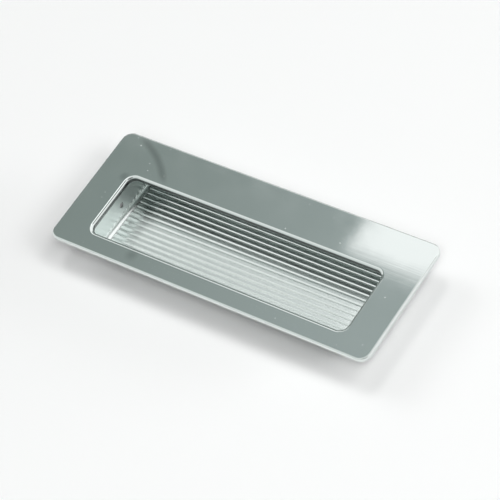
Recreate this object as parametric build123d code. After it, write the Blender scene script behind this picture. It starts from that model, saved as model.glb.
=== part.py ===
from build123d import *
import math
import os

# Flush pull for a door or drawer front: a polished face plate over a pressed, ribbed finger tray.
# Millimetres, +Z up. The part lies on its tray: the origin is under the middle of the plate, at the tray's
# lowest point, +X runs along the plate and +Y points to the wide border that the fingers hook under.

# Face plate
PLATE_LENGTH = 120.0
PLATE_WIDTH = 45.0
PLATE_CORNER = 3.5
RIM_THICKNESS = 1.3
RIM_EDGE_RADIUS = 0.5
SEAT_STEP = 0.3
SEAT_MARGIN = 0.2
LIP_DEPTH = 2.4
LIP_RADIUS = 1.1
LIP_UNDER_RADIUS = 1.0

# Opening in the plate
OPENING_LENGTH = 96.0
OPENING_WIDTH = 23.0
OPENING_CORNER = 2.6
NEAR_BORDER = 6.85

# Finger tray, pressed from sheet
TRAY_SHEET = 0.6
TRAY_HEIGHT = 10.7
TRAY_CORNER = 3.6
TRAY_SETBACK = 1.25
WALL_DRAFT = 2.5
FLOOR_RADIUS = 2.2
BEND_RADIUS = 0.3
FLANGE_WIDTH = 1.7
MOUTH_CLEARANCE = 0.15

# Ribs pressed in the floor
RIB_PITCH = 1.92
RIB_LAND = 0.9
RIB_HEIGHT = 0.22
RIB_MARGIN = 1.0
RIB_LIFT = 0.06
FOOT_DROP = 0.06

# Fixing pins through the end walls
PIN_HOLE_DIAMETER = 2.0
PIN_HOLE_HEIGHT = 5.4

# Levels above the surface that the tray lies on
SEAT_LEVEL = TRAY_HEIGHT
RIM_UNDERSIDE = SEAT_LEVEL + SEAT_STEP
PLATE_TOP = RIM_UNDERSIDE + RIM_THICKNESS
LIP_UNDERSIDE = PLATE_TOP - LIP_DEPTH

# Outlines that fit one another
OPENING_CENTRE = NEAR_BORDER + OPENING_WIDTH / 2 - PLATE_WIDTH / 2
MOUTH_LENGTH = OPENING_LENGTH + 2 * TRAY_SETBACK
MOUTH_WIDTH = PLATE_WIDTH + 2 * (TRAY_SETBACK - NEAR_BORDER)
MOUTH_CORNER = TRAY_CORNER - TRAY_SHEET
FLANGE_LENGTH = MOUTH_LENGTH + 2 * (TRAY_SHEET + FLANGE_WIDTH)
FLANGE_BREADTH = MOUTH_WIDTH + 2 * (TRAY_SHEET + FLANGE_WIDTH)
FLANGE_CORNER = TRAY_CORNER + FLANGE_WIDTH


def slab(length, width, corner, low, high, draft=0.0):
    """Rounded rectangular block between two levels, narrowing downwards by the draft angle."""
    outline = Plane.XY.offset(high) * RectangleRounded(length, width, corner)
    return extrude(outline, high - low, dir=(0, 0, -1), taper=draft)


def bottom_rim(solid):
    """Edges round the lowest face of a block."""
    return solid.faces().sort_by(Axis.Z)[0].edges()


def face_plate():
    """Plate with a rounded rim, a seat for the tray's flange, a pad in the tray's mouth and the opening."""
    rim = slab(PLATE_LENGTH, PLATE_WIDTH, PLATE_CORNER, RIM_UNDERSIDE, PLATE_TOP)
    rim = fillet(rim.faces().sort_by(Axis.Z)[-1].edges(), RIM_EDGE_RADIUS)
    seat = slab(
        FLANGE_LENGTH + 2 * SEAT_MARGIN,
        FLANGE_BREADTH + 2 * SEAT_MARGIN,
        FLANGE_CORNER + SEAT_MARGIN,
        SEAT_LEVEL,
        RIM_UNDERSIDE,
    )
    pad = slab(
        MOUTH_LENGTH - 2 * MOUTH_CLEARANCE,
        MOUTH_WIDTH - 2 * MOUTH_CLEARANCE,
        MOUTH_CORNER - MOUTH_CLEARANCE,
        LIP_UNDERSIDE,
        SEAT_LEVEL,
    )
    opening = slab(OPENING_LENGTH, OPENING_WIDTH, OPENING_CORNER, LIP_UNDERSIDE, PLATE_TOP)
    plate = rim + seat + pad - Pos(0, OPENING_CENTRE, 0) * opening
    top_lip = plate.faces().sort_by(Axis.Z)[-1].inner_wires()[0].edges()
    plate = fillet(top_lip, LIP_RADIUS)
    under_lip = plate.faces().sort_by(Axis.Z)[0].inner_wires()[0].edges()
    return fillet(under_lip, LIP_UNDER_RADIUS)


def rib_block(valley, count, length, base):
    """Bar along X with a row of flat-topped ribs on it, tangent arcs between them, starting in a valley."""
    quarter = (RIB_PITCH - RIB_LAND) / 4
    middle = valley + RIB_HEIGHT / 2
    crest = valley + RIB_HEIGHT
    radius = (quarter**2 + (RIB_HEIGHT / 2) ** 2) / RIB_HEIGHT
    half_turn = math.asin(quarter / radius) / 2
    half_rise = radius * (1 - math.cos(half_turn))
    half_run = radius * math.sin(half_turn)
    start = -count * RIB_PITCH / 2
    first_rise = [(start, valley), (start + half_run, valley + half_rise), (start + quarter, middle)]
    last_fall = [(-start - quarter, middle), (-start - half_run, valley + half_rise), (-start, valley)]
    curve = [ThreePointArc(*first_rise)]
    for rib in range(count):
        left = start + rib * RIB_PITCH
        right = left + RIB_PITCH
        land = [(left + 2 * quarter, crest), (right - 2 * quarter, crest)]
        near_shoulder = (land[0][0] - half_run, crest - half_rise)
        far_shoulder = (land[1][0] + half_run, crest - half_rise)
        curve.append(ThreePointArc((left + quarter, middle), near_shoulder, land[0]))
        curve.append(Line(*land))
        curve.append(ThreePointArc(land[1], far_shoulder, (right - quarter, middle)))
        if rib < count - 1:
            curve.append(ThreePointArc((right - quarter, middle), (right, valley), (right + quarter, middle)))
    curve.append(ThreePointArc(*last_fall))
    curve.append(Polyline((-start, valley), (-start, base), (start, base), (start, valley)))
    profile = Plane.YZ * make_face(curve)
    return extrude(profile, length / 2, both=True)


def finger_tray():
    """Drawn cup with a flange, a ribbed floor and a pin hole in each end wall."""
    foot_shift = TRAY_HEIGHT * math.tan(math.radians(WALL_DRAFT))
    floor_length = MOUTH_LENGTH - 2 * foot_shift
    floor_width = MOUTH_WIDTH - 2 * foot_shift
    rib_count = int((floor_width - 2 * RIB_MARGIN) / RIB_PITCH)

    shell = slab(
        MOUTH_LENGTH + 2 * TRAY_SHEET,
        MOUTH_WIDTH + 2 * TRAY_SHEET,
        TRAY_CORNER,
        0,
        TRAY_HEIGHT,
        WALL_DRAFT,
    )
    shell = fillet(bottom_rim(shell), FLOOR_RADIUS + TRAY_SHEET)
    flange = slab(FLANGE_LENGTH, FLANGE_BREADTH, FLANGE_CORNER, TRAY_HEIGHT - TRAY_SHEET, TRAY_HEIGHT)
    grooves = rib_block(-FOOT_DROP, rib_count, floor_length, -2 * RIB_HEIGHT)
    tray = shell + flange
    bend = tray.faces().filter_by(Plane.XY).sort_by(Axis.Z)[-2].inner_wires()[0].edges()
    tray = fillet(bend, BEND_RADIUS) - grooves

    cavity = slab(MOUTH_LENGTH, MOUTH_WIDTH, MOUTH_CORNER, TRAY_SHEET - RIB_LIFT, TRAY_HEIGHT, WALL_DRAFT)
    cavity = fillet(bottom_rim(cavity), FLOOR_RADIUS)
    ribs = rib_block(TRAY_SHEET, rib_count, floor_length, TRAY_SHEET / 2)
    tray = tray - (cavity - ribs)
    mouth = tray.faces().filter_by(Plane.XY).sort_by(Axis.Z)[-1].inner_wires()[0].edges()
    tray = fillet(mouth, BEND_RADIUS + TRAY_SHEET)
    pin = Plane.YZ.offset(-PLATE_LENGTH / 2) * Pos(0, PIN_HOLE_HEIGHT) * Circle(PIN_HOLE_DIAMETER / 2)
    return tray - extrude(pin, PLATE_LENGTH)


os.makedirs("parts", exist_ok=True)
export_step(face_plate(), "parts/face_plate.step")
export_step(finger_tray(), "parts/finger_tray.step")
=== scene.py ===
import math

import bmesh
import bpy
from mathutils import Matrix, Vector


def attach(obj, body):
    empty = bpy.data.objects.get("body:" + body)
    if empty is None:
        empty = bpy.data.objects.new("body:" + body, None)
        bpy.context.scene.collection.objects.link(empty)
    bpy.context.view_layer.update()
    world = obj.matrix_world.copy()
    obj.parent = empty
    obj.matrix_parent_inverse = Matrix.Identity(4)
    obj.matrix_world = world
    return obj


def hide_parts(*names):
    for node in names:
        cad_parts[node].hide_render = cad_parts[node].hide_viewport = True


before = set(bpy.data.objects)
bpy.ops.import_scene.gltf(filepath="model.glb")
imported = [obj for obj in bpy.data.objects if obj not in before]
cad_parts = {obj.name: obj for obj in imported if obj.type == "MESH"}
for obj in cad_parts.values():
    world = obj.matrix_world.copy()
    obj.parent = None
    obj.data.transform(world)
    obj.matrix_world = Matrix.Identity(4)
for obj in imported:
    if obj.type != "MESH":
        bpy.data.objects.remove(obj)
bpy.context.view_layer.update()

# Flush pull: a polished face plate over a satin, ribbed finger tray.
# Sizes are in millimetres, as in the solids: X along the plate, Y to its wide border, Z up from the table.
MM = 0.001

# Face plate
PLATE_LENGTH = 120.0
PLATE_WIDTH = 45.0
PLATE_CORNER = 3.5
RIM_THICKNESS = 1.3
RIM_EDGE_RADIUS = 0.5
SEAT_STEP = 0.3
SEAT_MARGIN = 0.2
LIP_DEPTH = 2.4
LIP_RADIUS = 1.1
LIP_UNDER_RADIUS = 1.0

# Opening in the plate
OPENING_LENGTH = 96.0
OPENING_WIDTH = 23.0
OPENING_CORNER = 2.6
NEAR_BORDER = 6.85

# Finger tray
TRAY_SHEET = 0.6
TRAY_HEIGHT = 10.7
TRAY_SETBACK = 1.25
MOUTH_CORNER = 3.0
MOUTH_CLEARANCE = 0.15
WALL_DRAFT = math.radians(2.5)
FLOOR_RADIUS = 2.2
BEND_RADIUS = 0.3
FLANGE_WIDTH = 1.7

# Ribs in the floor and pin holes in the end walls
RIB_PITCH = 1.92
RIB_LAND = 0.9
RIB_HEIGHT = 0.22
RIB_COUNT = 16
RIB_LIFT = 0.06
RIB_ROOT = 0.02
FOOT_DROP = 0.06
PIN_HOLE_RADIUS = 1.0
PIN_HOLE_HEIGHT = 5.4

# Levels above the table
SEAT_LEVEL = TRAY_HEIGHT
RIM_UNDERSIDE = SEAT_LEVEL + SEAT_STEP
PLATE_TOP = RIM_UNDERSIDE + RIM_THICKNESS
LIP_UNDERSIDE = PLATE_TOP - LIP_DEPTH
RIB_VALLEY = TRAY_SHEET
FLOOR_LEVEL = TRAY_SHEET - RIB_LIFT
FLOOR_BEND_LEVEL = FLOOR_LEVEL + FLOOR_RADIUS

# Outlines that fit one another
OPENING_CENTRE = NEAR_BORDER + OPENING_WIDTH / 2 - PLATE_WIDTH / 2
MOUTH_LENGTH = OPENING_LENGTH + 2 * TRAY_SETBACK
MOUTH_WIDTH = PLATE_WIDTH + 2 * (TRAY_SETBACK - NEAR_BORDER)
FLANGE_REACH = TRAY_SHEET + FLANGE_WIDTH
SEAT_LENGTH = MOUTH_LENGTH + 2 * (FLANGE_REACH + SEAT_MARGIN)
SEAT_WIDTH = MOUTH_WIDTH + 2 * (FLANGE_REACH + SEAT_MARGIN)
SEAT_CORNER = MOUTH_CORNER + FLANGE_REACH + SEAT_MARGIN
PAD_LENGTH = MOUTH_LENGTH - 2 * MOUTH_CLEARANCE
PAD_WIDTH = MOUTH_WIDTH - 2 * MOUTH_CLEARANCE
PAD_CORNER = MOUTH_CORNER - MOUTH_CLEARANCE
RIB_LENGTH = MOUTH_LENGTH - 2 * SEAT_LEVEL * math.tan(WALL_DRAFT)

# Zones of the finishes and of the painted shade on the far and left lip: where each starts along its axis,
# and where it is full
LIP_Z = (PLATE_TOP - 0.3, PLATE_TOP - 0.6)
RIM_BACK_Z = (RIM_UNDERSIDE + 0.1, RIM_UNDERSIDE + 0.04)
# Painted shade: the far lip and the upper left lip are darkened, darkest from the rim's underside level up.
FAR_LIP_Y = (-2.0, 5.0)
LEFT_LIP_X = (2.0 - OPENING_LENGTH / 2, 1.0 - OPENING_LENGTH / 2)
LEFT_LIP_Z = (LIP_UNDERSIDE + 0.3, LIP_UNDERSIDE + 0.7)
DEEP_LIP_SHADE_Z = (RIM_UNDERSIDE - 0.5, RIM_UNDERSIDE)
TRAY_WALL_Z = (1.6, 3.4)
RIB_END_X = (37.0, 44.0)
RIB_END_Y = (5.0, 0.0)

# Painted reflection of a dark arc, and two smears, on the face: X and Y of the middle, radius of the ring,
# and half its width
ARC_REFLECTION = (-63.0, -10.0, 32.7, 2.0)
ARC_REFLECTION_X = (-55.0, -50.0)
ARC_REFLECTION_Y = (8.0, 12.0)
LEFT_SPOT = (-50.0, 6.3, 0.0, 2.4)
NEAR_SPOT = (-29.4, -18.3, 0.0, 3.2)

# Fineness of the meshes, and the gap to the loops that keep flat faces flat beside a round
CORNER_STEPS = 14
LONG_STEPS = 24
SHORT_STEPS = 60
EDGE_STEPS = 12
FLOOR_BEND_STEPS = 14
MOUTH_STEPS = 8
NECK_STEPS = 6
RIB_STEPS = 48
PIN_STEPS = 48
SUPPORT = 0.04
MERGE_METRES = 1e-7

# Table and lamps, in metres
TABLE_HALF = 2.0
LAMP_DISTANCE = 4.0

# Camera: degrees, then millimetres from the middle of the plate's face, then pixels of the photograph
CAMERA_AZIMUTH = 51.990
CAMERA_ELEVATION = 50.152
CAMERA_ROLL = -23.266
CAMERA_RIGHT = 2.953
CAMERA_UP = -2.942
CAMERA_BACK = 747.10
FOCAL_PIXELS = 2450.67
IMAGE_PIXELS = 500
SENSOR_WIDTH = 36.0


def outline(length, width, corner, level, shift=0.0):
    """Rounded rectangle at one level, always with the same number of points, starting at its right end."""
    corners = []
    for turn, (side_x, side_y) in enumerate(((1, 1), (-1, 1), (-1, -1), (1, -1))):
        middle_x = side_x * (length / 2 - corner)
        middle_y = side_y * (width / 2 - corner) + shift
        angles = [math.pi / 2 * (turn + step / CORNER_STEPS) for step in range(CORNER_STEPS + 1)]
        corners.append([(middle_x + corner * math.cos(a), middle_y + corner * math.sin(a)) for a in angles])
    points = []
    for turn, arc in enumerate(corners):
        steps = LONG_STEPS if turn % 2 == 0 else SHORT_STEPS
        start = arc[-1]
        end = corners[(turn + 1) % 4][0]
        points += arc
        for step in range(1, steps):
            share = step / steps
            x = start[0] + share * (end[0] - start[0])
            y = start[1] + share * (end[1] - start[1])
            points.append((x, y))
    return [Vector((x, y, level)) * MM for x, y in points]


def skinned(name, loops, ring):
    """Object with quads between neighbouring loops: a ring of loops, or a stack closed at both ends."""
    shape = bmesh.new()
    rows = [[shape.verts.new(point) for point in loop] for loop in loops]
    pairs = list(zip(rows, rows[1:]))
    if ring:
        pairs.append((rows[-1], rows[0]))
    else:
        shape.faces.new(rows[0])
        shape.faces.new(rows[-1])
    for first, second in pairs:
        for index in range(len(first)):
            after = (index + 1) % len(first)
            shape.faces.new((first[index], first[after], second[after], second[index]))
    bmesh.ops.recalc_face_normals(shape, faces=shape.faces)
    return placed(name, shape)


def placed(name, shape):
    """Object at the world's origin from a finished bmesh."""
    mesh = bpy.data.meshes.new(name)
    shape.to_mesh(mesh)
    shape.free()
    piece = bpy.data.objects.new(name, mesh)
    bpy.context.scene.collection.objects.link(piece)
    return piece


def made_plain(piece):
    """Replaces a piece's mesh by what its modifiers make of it."""
    bpy.context.view_layer.update()
    depsgraph = bpy.context.evaluated_depsgraph_get()
    mesh = bpy.data.meshes.new_from_object(piece.evaluated_get(depsgraph))
    piece.modifiers.clear()
    piece.data = mesh


def dressed(piece, finish, crease):
    """Smooth faces with creases past an angle in degrees, all in one finish."""
    piece.data.materials.clear()
    piece.data.materials.append(finish)
    piece.data.polygons.foreach_set("material_index", [0] * len(piece.data.polygons))
    piece.data.shade_smooth()
    piece.data.set_sharp_from_angle(angle=math.radians(crease))


def steps_between(low, high, count):
    """Evenly spaced values from one to another, both included."""
    return [low + (high - low) * step / count for step in range(count + 1)]


def plate_shape():
    """Face plate: rim with a rounded edge, flat top, rounded lip, pad round the opening and seat below."""

    def rim(inset, level):
        return outline(PLATE_LENGTH - 2 * inset, PLATE_WIDTH - 2 * inset, PLATE_CORNER - inset, level)

    def lip(outset, level):
        length = OPENING_LENGTH + 2 * outset
        width = OPENING_WIDTH + 2 * outset
        return outline(length, width, OPENING_CORNER + outset, level, OPENING_CENTRE)

    quarter = steps_between(0.0, math.pi / 2, EDGE_STEPS)
    side_top = PLATE_TOP - RIM_EDGE_RADIUS
    loops = [outline(SEAT_LENGTH, SEAT_WIDTH, SEAT_CORNER, RIM_UNDERSIDE)]
    loops.append(rim(SUPPORT, RIM_UNDERSIDE))
    loops.append(rim(0, RIM_UNDERSIDE + SUPPORT))
    loops.append(rim(0, side_top - SUPPORT))
    for a in quarter:
        loops.append(rim(RIM_EDGE_RADIUS * (1 - math.cos(a)), side_top + RIM_EDGE_RADIUS * math.sin(a)))
    loops.append(rim(RIM_EDGE_RADIUS + SUPPORT, PLATE_TOP))
    loops.append(lip(LIP_RADIUS + SUPPORT, PLATE_TOP))
    for a in quarter:
        loops.append(lip(LIP_RADIUS * (1 - math.sin(a)), PLATE_TOP - LIP_RADIUS * (1 - math.cos(a))))
    loops.append(lip(0, PLATE_TOP - LIP_RADIUS - SUPPORT))
    loops.append(lip(0, LIP_UNDERSIDE + LIP_UNDER_RADIUS + SUPPORT))
    for a in quarter:
        outset = LIP_UNDER_RADIUS * (1 - math.cos(a))
        loops.append(lip(outset, LIP_UNDERSIDE + LIP_UNDER_RADIUS * (1 - math.sin(a))))
    loops.append(lip(LIP_UNDER_RADIUS + SUPPORT, LIP_UNDERSIDE))
    loops.append(outline(PAD_LENGTH, PAD_WIDTH, PAD_CORNER, LIP_UNDERSIDE))
    loops.append(outline(PAD_LENGTH, PAD_WIDTH, PAD_CORNER, SEAT_LEVEL))
    loops.append(outline(SEAT_LENGTH, SEAT_WIDTH, SEAT_CORNER, SEAT_LEVEL))
    return skinned("face_plate_polished", loops, ring=True)


def tray_cup():
    """Plain drawn cup: inside from the floor up, over the flange and down the outside, with its bends."""
    slope = math.tan(WALL_DRAFT)
    lean = math.cos(WALL_DRAFT)
    rise = math.sin(WALL_DRAFT)

    def at(inset, level):
        return outline(MOUTH_LENGTH - 2 * inset, MOUTH_WIDTH - 2 * inset, MOUTH_CORNER - inset, level)

    def wall(level, sheet):
        return (SEAT_LEVEL - level) * slope - sheet

    def bend(centre, radius, angles):
        return [at(centre[0] + radius * math.cos(a), centre[1] + radius * math.sin(a)) for a in angles]

    mouth_radius = BEND_RADIUS + TRAY_SHEET
    outer_radius = FLOOR_RADIUS + TRAY_SHEET
    turn_low = math.pi + WALL_DRAFT
    turn_high = math.pi * 1.5
    foot = (wall(FLOOR_BEND_LEVEL, 0) + FLOOR_RADIUS / lean, FLOOR_BEND_LEVEL)
    level = SEAT_LEVEL - mouth_radius
    mouth = (wall(level, 0) - mouth_radius / lean, level)
    level = SEAT_LEVEL - TRAY_SHEET - BEND_RADIUS
    neck = (wall(level, TRAY_SHEET) - BEND_RADIUS / lean, level)
    outer = (wall(outer_radius, TRAY_SHEET) + outer_radius / lean, outer_radius)

    loops = bend(foot, FLOOR_RADIUS, steps_between(turn_high, turn_low, FLOOR_BEND_STEPS))
    level = foot[1] - FLOOR_RADIUS * rise + SUPPORT
    loops.append(at(wall(level, 0), level))
    level = mouth[1] + mouth_radius * rise - SUPPORT
    loops.append(at(wall(level, 0), level))
    loops += bend(mouth, mouth_radius, steps_between(WALL_DRAFT, math.pi / 2, MOUTH_STEPS))
    loops.append(at(-FLANGE_REACH, SEAT_LEVEL))
    loops.append(at(-FLANGE_REACH, SEAT_LEVEL - TRAY_SHEET))
    loops += bend(neck, BEND_RADIUS, steps_between(math.pi / 2, WALL_DRAFT, NECK_STEPS))
    level = neck[1] + BEND_RADIUS * rise - SUPPORT
    loops.append(at(wall(level, TRAY_SHEET), level))
    level = outer[1] - outer_radius * rise + SUPPORT
    loops.append(at(wall(level, TRAY_SHEET), level))
    loops += bend(outer, outer_radius, steps_between(turn_low, turn_high, FLOOR_BEND_STEPS))
    return skinned("finger_tray_satin", loops, ring=False)


def add_node(tree, kind, values=None, **settings):
    """New node with its settings, each named input linked to a socket or set to a value."""
    node = tree.nodes.new(kind)
    for name, value in settings.items():
        setattr(node, name, value)
    for name, value in (values or {}).items():
        if isinstance(value, bpy.types.NodeSocket):
            tree.links.new(value, node.inputs[name])
        else:
            node.inputs[name].default_value = value
    return node


def calc(tree, operation, *values):
    """Output of a Math node on sockets or numbers."""
    return add_node(tree, "ShaderNodeMath", dict(enumerate(values)), operation=operation).outputs[0]


def squares(tree, first, second):
    """Sum of two squares."""
    return calc(tree, "ADD", calc(tree, "POWER", first, 2.0), calc(tree, "POWER", second, 2.0))


def ramp(tree, value, start, end, low=0.0, high=1.0):
    """Smooth change from one value to another between two places."""
    places = {"Value": value, "From Min": start, "From Max": end, "To Min": low, "To Max": high}
    return add_node(tree, "ShaderNodeMapRange", places, interpolation_type="SMOOTHSTEP").outputs["Result"]


def fade(tree, value, zone, most=1.0):
    """Mask that rises from nought between the two ends of a zone in millimetres."""
    start, end = zone
    return ramp(tree, value, start * MM, end * MM, 0.0, most)


def blended(tree, factor, first, second):
    """Colour between two colours."""
    values = {"Factor": factor, "A": first, "B": second}
    return add_node(tree, "ShaderNodeMix", values, data_type="RGBA").outputs["Result"]


def rib_tree():
    """Geometry Nodes for a block of flat-topped ribs along X, tangent arcs between, repeated across Y."""
    tree = bpy.data.node_groups.new("pressed_ribs", "GeometryNodeTree")
    tree.is_modifier = True
    for name in ("Length", "Pitch", "Land", "Height", "Valley", "Depth"):
        tree.interface.new_socket(name, in_out="INPUT", socket_type="NodeSocketFloat")
    for name in ("Count", "Steps"):
        tree.interface.new_socket(name, in_out="INPUT", socket_type="NodeSocketInt")
    tree.interface.new_socket("Finish", in_out="INPUT", socket_type="NodeSocketMaterial")
    tree.interface.new_socket("Geometry", in_out="OUTPUT", socket_type="NodeSocketGeometry")
    given = tree.nodes.new("NodeGroupInput").outputs

    def vector(x, y, z):
        return add_node(tree, "ShaderNodeCombineXYZ", {"X": x, "Y": y, "Z": z}).outputs[0]

    half = calc(tree, "DIVIDE", given["Pitch"], 2.0)
    quarter = calc(tree, "DIVIDE", calc(tree, "SUBTRACT", given["Pitch"], given["Land"]), 4.0)
    half_rise = calc(tree, "DIVIDE", given["Height"], 2.0)
    radius = calc(tree, "DIVIDE", squares(tree, quarter, half_rise), given["Height"])

    def sagitta(run):
        square = calc(tree, "SUBTRACT", calc(tree, "POWER", radius, 2.0), calc(tree, "POWER", run, 2.0))
        return calc(tree, "SUBTRACT", radius, calc(tree, "SQRT", square))

    step = vector(0.0, calc(tree, "DIVIDE", given["Pitch"], given["Steps"]), 0.0)
    points = calc(tree, "ADD", given["Steps"], 1.0)
    profile = add_node(tree, "GeometryNodeMeshLine", {"Count": points, "Offset": step}).outputs["Mesh"]
    place = add_node(tree, "GeometryNodeInputPosition").outputs[0]
    run = add_node(tree, "ShaderNodeSeparateXYZ", {0: place}).outputs["Y"]
    from_valley = calc(tree, "PINGPONG", run, half)
    low_arc = sagitta(from_valley)
    to_land = calc(tree, "SUBTRACT", calc(tree, "MULTIPLY", quarter, 2.0), from_valley)
    high_arc = calc(tree, "SUBTRACT", given["Height"], sagitta(calc(tree, "MAXIMUM", to_land, 0.0)))
    is_low = calc(tree, "LESS_THAN", from_valley, quarter)
    level = add_node(tree, "ShaderNodeMix", {"Factor": is_low, "A": high_arc, "B": low_arc})
    lift = vector(0.0, 0.0, level.outputs["Result"])
    wave = add_node(tree, "GeometryNodeSetPosition", {"Geometry": profile, "Offset": lift})
    along = vector(given["Length"], 0.0, 0.0)
    strip = add_node(
        tree,
        "GeometryNodeExtrudeMesh",
        {"Mesh": wave.outputs[0], "Offset": along, "Offset Scale": 1.0},
        mode="EDGES",
    )
    start_x = calc(tree, "DIVIDE", given["Length"], -2.0)
    start_y = calc(tree, "MULTIPLY", calc(tree, "DIVIDE", given["Count"], -2.0), given["Pitch"])
    row = add_node(
        tree,
        "GeometryNodeMeshLine",
        {
            "Count": given["Count"],
            "Start Location": vector(start_x, start_y, given["Valley"]),
            "Offset": vector(0.0, given["Pitch"], 0.0),
        },
    )
    copies = add_node(
        tree,
        "GeometryNodeInstanceOnPoints",
        {"Points": row.outputs["Mesh"], "Instance": strip.outputs["Mesh"]},
    )

    def merged(geometry):
        values = {"Geometry": geometry, "Distance": MERGE_METRES}
        return add_node(tree, "GeometryNodeMergeByDistance", values).outputs[0]

    real = add_node(tree, "GeometryNodeRealizeInstances", {"Geometry": copies.outputs[0]})
    top = merged(real.outputs[0])
    down = vector(0.0, 0.0, calc(tree, "MULTIPLY", given["Depth"], -1.0))
    body = add_node(
        tree,
        "GeometryNodeExtrudeMesh",
        {"Mesh": top, "Offset": down, "Offset Scale": 1.0, "Individual": False},
        mode="FACES",
    )
    lid = add_node(tree, "GeometryNodeFlipFaces", {"Mesh": top})
    block = tree.nodes.new("GeometryNodeJoinGeometry")
    tree.links.new(body.outputs["Mesh"], block.inputs[0])
    tree.links.new(lid.outputs[0], block.inputs[0])
    whole = add_node(tree, "GeometryNodeRealizeInstances", {"Geometry": merged(block.outputs[0])})
    finished = add_node(
        tree,
        "GeometryNodeSetMaterial",
        {"Geometry": whole.outputs[0], "Material": given["Finish"]},
    )
    add_node(tree, "NodeGroupOutput", {"Geometry": finished.outputs[0]})
    return tree


def rib_block(name, tree, valley, depth, finish):
    """Plain closed block with the ribs' wave on top, its valleys at one level."""
    block = placed(name, bmesh.new())
    modifier = block.modifiers.new("ribs", "NODES")
    modifier.node_group = tree
    values = {
        "Length": RIB_LENGTH * MM,
        "Pitch": RIB_PITCH * MM,
        "Land": RIB_LAND * MM,
        "Height": RIB_HEIGHT * MM,
        "Valley": valley * MM,
        "Depth": depth * MM,
        "Count": RIB_COUNT,
        "Steps": RIB_STEPS,
        "Finish": finish,
    }
    for item in tree.interface.items_tree:
        if item.in_out == "INPUT":
            modifier[item.identifier] = values[item.name]
    made_plain(block)
    shape = bmesh.new()
    shape.from_mesh(block.data)
    bmesh.ops.recalc_face_normals(shape, faces=shape.faces)
    shape.to_mesh(block.data)
    shape.free()
    return block


def pin_bar():
    """Round bar through both end walls, which cuts the pin holes."""
    shape = bmesh.new()
    turned = Matrix.Translation((0, 0, PIN_HOLE_HEIGHT * MM)) @ Matrix.Rotation(math.pi / 2, 4, "Y")
    bmesh.ops.create_cone(
        shape,
        cap_ends=True,
        segments=PIN_STEPS,
        radius1=PIN_HOLE_RADIUS * MM,
        radius2=PIN_HOLE_RADIUS * MM,
        depth=PLATE_LENGTH * MM,
        matrix=turned,
    )
    return placed("pins", shape)


def tray_shape(finish):
    """Finger tray: the cup with ribs pressed in its floor, grooves below and a pin hole in each end wall."""
    tray = tray_cup()
    tree = rib_tree()
    ribs = rib_block("ribs", tree, RIB_VALLEY, RIB_VALLEY - RIB_ROOT, finish)
    grooves = rib_block("grooves", tree, -FOOT_DROP, 2 * RIB_HEIGHT, finish)
    pins = pin_bar()
    for tool, action in ((ribs, "UNION"), (grooves, "DIFFERENCE"), (pins, "DIFFERENCE")):
        cut = tray.modifiers.new(tool.name, "BOOLEAN")
        cut.object = tool
        cut.operation = action
        cut.solver = "EXACT"
    made_plain(tray)
    for tool in (ribs, grooves, pins):
        bpy.data.objects.remove(tool)
    return tray


def effect_group(name, inputs, outputs):
    """Empty shader group with its named sockets, and its two end nodes."""
    tree = bpy.data.node_groups.new(name, "ShaderNodeTree")
    for socket, kind, value in inputs:
        made = tree.interface.new_socket(socket, in_out="INPUT", socket_type=kind)
        if value is not None:
            made.default_value = value
    for socket in outputs:
        tree.interface.new_socket(socket, in_out="OUTPUT", socket_type="NodeSocketFloat")
    return tree, tree.nodes.new("NodeGroupInput").outputs, tree.nodes.new("NodeGroupOutput").inputs


def buffing_lines():
    """Fine lines along X, as buffing leaves them: Lines per metre across, and how much longer than wide."""
    tree, given, put = effect_group(
        "buffing_lines",
        (
            ("Place", "NodeSocketVector", None),
            ("Lines", "NodeSocketFloat", 2000.0),
            ("Length", "NodeSocketFloat", 30.0),
        ),
        ("Height", "Cloud"),
    )
    along = calc(tree, "DIVIDE", given["Lines"], given["Length"])
    scale = add_node(tree, "ShaderNodeCombineXYZ", {"X": along, "Y": given["Lines"], "Z": given["Lines"]})
    stretched = add_node(
        tree,
        "ShaderNodeVectorMath",
        {0: given["Place"], 1: scale.outputs[0]},
        operation="MULTIPLY",
    )
    for output, vector, size in (("Height", stretched.outputs[0], 1.0), ("Cloud", given["Place"], 90.0)):
        noise = add_node(tree, "ShaderNodeTexNoise", {"Vector": vector, "Scale": size, "Detail": 3.0})
        tree.links.new(noise.outputs[0], put[output])
    return tree


def dust_specks():
    """Scattered specks of dust: a mask of small round spots, Share of the cells holding one."""
    tree, given, put = effect_group(
        "dust_specks",
        (
            ("Place", "NodeSocketVector", None),
            ("Cells", "NodeSocketFloat", 300.0),
            ("Size", "NodeSocketFloat", 0.1),
            ("Share", "NodeSocketFloat", 0.1),
        ),
        ("Mask",),
    )
    cell = add_node(tree, "ShaderNodeTexVoronoi", {"Vector": given["Place"], "Scale": given["Cells"]})
    picks = add_node(tree, "ShaderNodeSeparateColor", {0: cell.outputs["Color"]}).outputs
    size = calc(tree, "MULTIPLY", given["Size"], picks[1])
    spot = ramp(tree, cell.outputs["Distance"], 0.0, size, 1.0, 0.0)
    chosen = calc(tree, "LESS_THAN", picks[0], given["Share"])
    tree.links.new(calc(tree, "MULTIPLY", spot, chosen), put["Mask"])
    return tree


def new_finish(name):
    """Material with only a Principled shader and its output, and that shader."""
    finish = bpy.data.materials.new(name)
    finish.use_nodes = True
    return finish, finish.node_tree.nodes["Principled BSDF"]


def place_on(tree):
    """Place on the piece, as a vector and as its X, Y and Z."""
    place = add_node(tree, "ShaderNodeTexCoord").outputs["Object"]
    return place, add_node(tree, "ShaderNodeSeparateXYZ", {0: place}).outputs


def effect(tree, group, place, **values):
    """Outputs of a shared effect, placed in a material with its own values."""
    return add_node(tree, "ShaderNodeGroup", {"Place": place, **values}, node_tree=group).outputs


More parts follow.
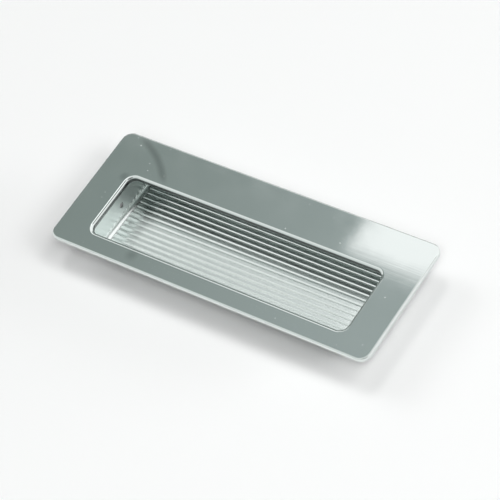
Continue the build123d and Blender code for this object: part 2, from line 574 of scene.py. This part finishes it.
def smears_and_painted_reflection(tree, spot):
    """Mask of a painted reflection, a dark arc on the plate's far left, and of two smaller smears beside the
    opening.
    """

    def ring_mask(x, y, radius, width):
        """Ring round a place on the face, or a spot where the radius is nought."""
        from_x = calc(tree, "SUBTRACT", spot["X"], x * MM)
        from_y = calc(tree, "SUBTRACT", spot["Y"], y * MM)
        away = calc(tree, "SQRT", squares(tree, from_x, from_y))
        off_ring = calc(tree, "ABSOLUTE", calc(tree, "SUBTRACT", away, radius * MM))
        return fade(tree, off_ring, (width, 0.0))

    spot_strength = 0.7
    # Painted reflection: the dark arc is a reflection of the room, painted into the face's colour.
    arc = calc(tree, "MULTIPLY", ring_mask(*ARC_REFLECTION), fade(tree, spot["Y"], ARC_REFLECTION_Y))
    arc = calc(tree, "MULTIPLY", arc, fade(tree, spot["X"], ARC_REFLECTION_X))
    spots = calc(tree, "MAXIMUM", ring_mask(*LEFT_SPOT), ring_mask(*NEAR_SPOT))
    return calc(tree, "MAXIMUM", arc, calc(tree, "MULTIPLY", spots, spot_strength))


def plate_recesses(tree, spot):
    """Masks of the lip below the plate's face, of the rim's back, and of painted shade on the far and left
    lip joined with the rim's back.
    """

    def past_seat_side(axis, half):
        return fade(tree, calc(tree, "ABSOLUTE", spot[axis]), (half - SEAT_MARGIN, half))

    left_shade_strength = 0.7
    past_seat_x = past_seat_side("X", SEAT_LENGTH / 2)
    past_seat_y = past_seat_side("Y", SEAT_WIDTH / 2)
    past_seat = calc(tree, "MAXIMUM", past_seat_x, past_seat_y)
    lip = calc(tree, "MULTIPLY", fade(tree, spot["Z"], LIP_Z), calc(tree, "SUBTRACT", 1.0, past_seat))
    rim_back = calc(tree, "MULTIPLY", past_seat, fade(tree, spot["Z"], RIM_BACK_Z))
    # Painted shade: the far lip and the upper part of the left lip are darkened where shade falls under the
    # plate.
    far_side = fade(tree, spot["Y"], FAR_LIP_Y)
    left_end = fade(tree, spot["X"], LEFT_LIP_X, left_shade_strength)
    left_end = calc(tree, "MULTIPLY", left_end, fade(tree, spot["Z"], LEFT_LIP_Z))
    shaded_lip = calc(tree, "MULTIPLY", calc(tree, "MAXIMUM", far_side, left_end), lip)
    return lip, rim_back, calc(tree, "MAXIMUM", shaded_lip, rim_back)


def polished_chrome(lines, dust):
    """Mirror-polished chrome with buffing lines, dust, smears and a painted reflection of a dark arc;
    rougher inside the lip and behind the rim, with painted shade on the far and left lip and a dark
    unpolished rim back.
    """
    deep_chrome = (0.725, 0.767, 0.753, 1)
    pale_chrome = (0.755, 0.793, 0.781, 1)
    dust_grey = (0.88, 0.9, 0.89, 1)
    # Grey of the smears and of the painted reflection of the dark arc.
    smear_and_reflection_grey = (0.53, 0.56, 0.55, 1)
    # Painted shade of the far and left lip; the darker grey is also the unpolished rim back's own colour.
    lip_shade_grey = (0.34, 0.36, 0.355, 1)
    shade_and_back_dark = (0.12, 0.13, 0.128, 1)
    dust_roughness = 0.4
    dull_roughness = 0.3

    finish, shader = new_finish("polished_chrome")
    tree = finish.node_tree
    place, spot = place_on(tree)
    grain = effect(tree, lines, place, Lines=1400.0, Length=40.0)
    specks = effect(tree, dust, place, Cells=420.0, Size=0.14, Share=0.6)["Mask"]
    lip, rim_back, shade_and_back_mask = plate_recesses(tree, spot)

    tint = blended(tree, grain["Cloud"], deep_chrome, pale_chrome)
    tint = blended(tree, specks, tint, dust_grey)
    # Smears, and the painted reflection of the dark arc.
    tint = blended(tree, smears_and_painted_reflection(tree, spot), tint, smear_and_reflection_grey)
    # Painted shade on the far and left lip, darker higher up, and the dark grey of the unpolished rim back.
    shade_and_back_tint = blended(tree, fade(tree, spot["Z"], DEEP_LIP_SHADE_Z), lip_shade_grey, shade_and_back_dark)
    tint = blended(tree, shade_and_back_mask, tint, shade_and_back_tint)
    tree.links.new(tint, shader.inputs["Base Color"])

    rough = ramp(tree, grain["Cloud"], 0.3, 0.7, 0.02, 0.05)
    rough = calc(tree, "MULTIPLY_ADD", specks, dust_roughness, rough)
    rough = calc(tree, "MULTIPLY_ADD", calc(tree, "MAXIMUM", lip, rim_back), dull_roughness, rough)
    tree.links.new(rough, shader.inputs["Roughness"])
    shader.inputs["Metallic"].default_value = 1.0

    waves = add_node(tree, "ShaderNodeBump", {"Height": grain["Cloud"], "Strength": 1.0, "Distance": 3e-6})
    scratches = add_node(
        tree,
        "ShaderNodeBump",
        {"Height": grain["Height"], "Strength": 0.004, "Distance": 0.0002, "Normal": waves.outputs[0]},
    )
    tree.links.new(scratches.outputs[0], shader.inputs["Normal"])
    return finish


def tray_outside(tree, spot):
    """Mask of the tray's outer faces: past the middle of its sheet, round its corners and its foot."""

    def beyond(value, limit):
        return calc(tree, "MAXIMUM", calc(tree, "SUBTRACT", value, limit * MM), 0.0)

    def distance(first, second):
        return calc(tree, "SQRT", squares(tree, first, second))

    slope = math.tan(WALL_DRAFT)
    inner_face = (SEAT_LEVEL - FLOOR_BEND_LEVEL) * slope + FLOOR_RADIUS / math.cos(WALL_DRAFT)
    bend_reach = MOUTH_CORNER - inner_face
    past_x = beyond(calc(tree, "ABSOLUTE", spot["X"]), MOUTH_LENGTH / 2 - MOUTH_CORNER)
    past_y = beyond(calc(tree, "ABSOLUTE", spot["Y"]), MOUTH_WIDTH / 2 - MOUTH_CORNER)
    past_bend = beyond(distance(past_x, past_y), bend_reach)
    below_bend = beyond(calc(tree, "MULTIPLY", spot["Z"], -1.0), -FLOOR_BEND_LEVEL)
    wall_height = calc(tree, "MAXIMUM", spot["Z"], FLOOR_BEND_LEVEL * MM)
    draft = calc(tree, "MULTIPLY", calc(tree, "SUBTRACT", SEAT_LEVEL * MM, wall_height), slope)
    reach = calc(tree, "ADD", distance(past_bend, below_bend), draft)
    return fade(tree, reach, (inner_face + TRAY_SHEET / 3, inner_face + TRAY_SHEET * 2 / 3))


def satin_steel(lines, dust):
    """Satin pressed steel with a fine grain and dust, rougher on walls and rib ends, and darker and rougher
    outside.
    """
    deep_steel = (0.91, 0.95, 0.935, 1)
    pale_steel = (0.935, 0.97, 0.955, 1)
    wall_steel = (0.87, 0.94, 0.92, 1)
    outside_steel = (0.4, 0.42, 0.415, 1)
    dust_roughness = 0.3
    wall_roughness = 0.14
    outside_roughness = 0.2
    rib_end_share = 0.5

    finish, shader = new_finish("satin_steel")
    tree = finish.node_tree
    place, spot = place_on(tree)
    grain = effect(tree, lines, place, Lines=4000.0, Length=6.0)
    specks = effect(tree, dust, place, Cells=500.0, Size=0.12, Share=0.04)["Mask"]
    walls = fade(tree, spot["Z"], TRAY_WALL_Z)
    outside = tray_outside(tree, spot)

    tint = blended(tree, grain["Cloud"], deep_steel, pale_steel)
    tint = blended(tree, walls, tint, wall_steel)
    tint = blended(tree, outside, tint, outside_steel)
    tree.links.new(tint, shader.inputs["Base Color"])

    rib_ends = fade(tree, calc(tree, "ABSOLUTE", spot["X"]), RIB_END_X, rib_end_share)
    rib_ends = calc(tree, "MULTIPLY", rib_ends, fade(tree, spot["Y"], RIB_END_Y))
    rough = ramp(tree, grain["Height"], 0.3, 0.7, 0.17, 0.2)
    rough = calc(tree, "MULTIPLY_ADD", specks, dust_roughness, rough)
    rough = calc(tree, "MULTIPLY_ADD", calc(tree, "MAXIMUM", walls, rib_ends), wall_roughness, rough)
    rough = calc(tree, "MULTIPLY_ADD", outside, outside_roughness, rough)
    tree.links.new(rough, shader.inputs["Roughness"])
    shader.inputs["Metallic"].default_value = 1.0
    return finish


def room_colour(tree):
    """Colour of the room in reflections: pale, with a grey wall behind the part, white panels and dark gaps.

    Its places are on a ceiling one unit up: across from overhead to the right, and back to the far side.
    """
    ray = add_node(tree, "ShaderNodeTexCoord").outputs["Generated"]
    way = add_node(tree, "ShaderNodeSeparateXYZ", {0: ray}).outputs
    lowest_ray = 0.03
    height = calc(tree, "MAXIMUM", way["Z"], lowest_ray)
    across = calc(tree, "DIVIDE", way["X"], height)
    back = calc(tree, "DIVIDE", way["Y"], height)

    def both(first, second):
        return calc(tree, "MULTIPLY", first, second)

    def disc(x, y, outer, inner):
        from_x = calc(tree, "SUBTRACT", across, x)
        from_y = calc(tree, "SUBTRACT", back, y)
        return ramp(tree, calc(tree, "SQRT", squares(tree, from_x, from_y)), outer, inner)

    white_band = both(ramp(tree, back, 0.57, 0.6), ramp(tree, back, 1.2, 0.85))
    right_panel = both(ramp(tree, across, 0.5, 0.85), ramp(tree, back, -0.9, -0.3))
    white_disc = disc(-0.3, 0.44, 0.3, 0.15)
    dark_disc = disc(0.26, 0.46, 0.28, 0.16)
    near_gap = disc(0.66, -0.51, 0.7, 0.4)
    low_back = ramp(tree, way["Y"], 0.62, 0.7)
    left_gap = both(ramp(tree, across, -0.92, -1.0), ramp(tree, back, 0.2, 0.35))
    wall_across = both(ramp(tree, across, -1.3, -1.1), ramp(tree, across, -0.44, -0.5))
    wall_back = both(ramp(tree, back, 0.22, 0.28), ramp(tree, back, 0.575, 0.56))
    wall_shade = ramp(tree, across, -0.80, -0.52)
    wall = blended(tree, wall_shade, (0.272, 0.316, 0.302, 1), (0.416, 0.466, 0.461, 1))
    softbox = both(ramp(tree, across, -0.614, -0.604), ramp(tree, back, 0.528, 0.540))

    near_side = ramp(tree, way["Y"], 0.0, -0.8)
    room = blended(tree, near_side, (0.95, 0.97, 0.96, 1), (0.76, 0.8, 0.79, 1))
    for mask, colour in (
        (white_band, (1.27, 1.29, 1.28, 1)),
        (right_panel, (1.05, 1.07, 1.06, 1)),
        (white_disc, (1.8, 1.82, 1.81, 1)),
        (dark_disc, (0.05, 0.06, 0.06, 1)),
        (near_gap, (0.12, 0.13, 0.13, 1)),
        (low_back, (0.6, 0.63, 0.62, 1)),
        (left_gap, (0.24, 0.27, 0.26, 1)),
        (both(wall_across, wall_back), wall),
        (softbox, (1.16, 1.17, 1.17, 1)),
    ):
        room = blended(tree, mask, room, colour)
    return room


def studio_world():
    """White for the camera and the room in reflections. It sheds no light of its own on the table."""
    world = bpy.data.worlds.new("studio")
    bpy.context.scene.world = world
    world.use_nodes = True
    tree = world.node_tree
    tree.nodes.clear()
    ray = add_node(tree, "ShaderNodeLightPath").outputs
    seen = blended(tree, ray["Is Camera Ray"], room_colour(tree), (1.0, 1.0, 1.0, 1))
    direct = calc(tree, "MAXIMUM", ray["Is Camera Ray"], ray["Is Glossy Ray"])
    direct = calc(tree, "MAXIMUM", direct, ray["Is Transmission Ray"])
    shown = add_node(tree, "ShaderNodeBackground", {"Color": seen, "Strength": direct})
    add_node(tree, "ShaderNodeOutputWorld", {"Surface": shown.outputs[0]})


def studio_floor():
    """Pale table under the part."""
    shape = bmesh.new()
    bmesh.ops.create_grid(shape, x_segments=1, y_segments=1, size=TABLE_HALF)
    table = placed("table", shape)
    finish, shader = new_finish("pale_table")
    shader.inputs["Base Color"].default_value = (0.93, 0.94, 0.935, 1)
    shader.inputs["Roughness"].default_value = 0.9
    shader.inputs["Specular IOR Level"].default_value = 0.0
    table.data.materials.append(finish)


def studio_lamps():
    """Soft panels, most of them on the right, which light the table and stay out of reflections.

    Each has its azimuth from the far side towards the right and its elevation in degrees, its width and
    height in metres, and its power in watts.
    """
    panels = (
        ("right_low", 60, 10, 1.8, 1.0, 60),
        ("right_side", 85, 34, 1.8, 1.0, 42),
        ("right_high", 80, 46, 1.1, 1.1, 17),
        ("right_back", 60, 56, 1.1, 1.1, 24),
        ("camera_side", 120, 56, 1.1, 1.1, 43),
        ("front_high", 140, 52, 1.1, 1.1, 33),
        ("left_side", 280, 34, 1.8, 1.0, 17),
        ("left_high", 280, 46, 1.1, 1.1, 12),
        ("back_high", 330, 70, 1.1, 1.1, 22),
    )
    for name, azimuth, elevation, width, height, power in panels:
        lamp = bpy.data.lights.new(name, "AREA")
        lamp.shape = "RECTANGLE"
        lamp.size = width
        lamp.size_y = height
        lamp.energy = power
        holder = bpy.data.objects.new(name, lamp)
        bpy.context.scene.collection.objects.link(holder)
        turn = math.radians(azimuth)
        rise = math.radians(elevation)
        away = Vector((math.sin(turn) * math.cos(rise), math.cos(turn) * math.cos(rise), math.sin(rise)))
        side = Vector((0, 0, 1)).cross(away).normalized()
        turned = Matrix((side, away.cross(side), away)).transposed().to_4x4()
        holder.matrix_world = Matrix.Translation(LAMP_DISTANCE * away) @ turned
        holder.visible_camera = False
        holder.visible_glossy = False


def photo_camera():
    """Camera above the right near corner, turned about its own axis."""
    azimuth = math.radians(CAMERA_AZIMUTH)
    elevation = math.radians(CAMERA_ELEVATION)
    roll = math.radians(CAMERA_ROLL)
    flat = math.cos(elevation)
    back = Vector((math.sin(azimuth) * flat, -math.cos(azimuth) * flat, math.sin(elevation)))
    level = Vector((math.cos(azimuth), math.sin(azimuth), 0))
    upright = back.cross(level)
    right = math.cos(roll) * level + math.sin(roll) * upright
    up = back.cross(right)
    lens = bpy.data.cameras.new("camera")
    lens.sensor_width = SENSOR_WIDTH
    lens.lens = SENSOR_WIDTH * FOCAL_PIXELS / IMAGE_PIXELS
    lens.clip_start = 0.05
    lens.clip_end = 20.0
    camera = bpy.data.objects.new("camera", lens)
    bpy.context.scene.collection.objects.link(camera)
    turned = Matrix((right, up, back)).transposed().to_4x4()
    eye = CAMERA_RIGHT * right + CAMERA_UP * up + CAMERA_BACK * back + Vector((0, 0, PLATE_TOP))
    camera.matrix_world = Matrix.Translation(eye * MM) @ turned
    bpy.context.scene.camera = camera


lines = buffing_lines()
dust = dust_specks()
chrome = polished_chrome(lines, dust)
satin = satin_steel(lines, dust)

plate = plate_shape()
dressed(plate, chrome, crease=30)
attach(plate, "root")
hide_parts("face_plate")

tray = tray_shape(satin)
dressed(tray, satin, crease=20)
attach(tray, "root")
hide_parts("finger_tray")

studio_world()
studio_floor()
studio_lamps()
photo_camera()
bpy.context.scene.view_settings.view_transform = "Standard"
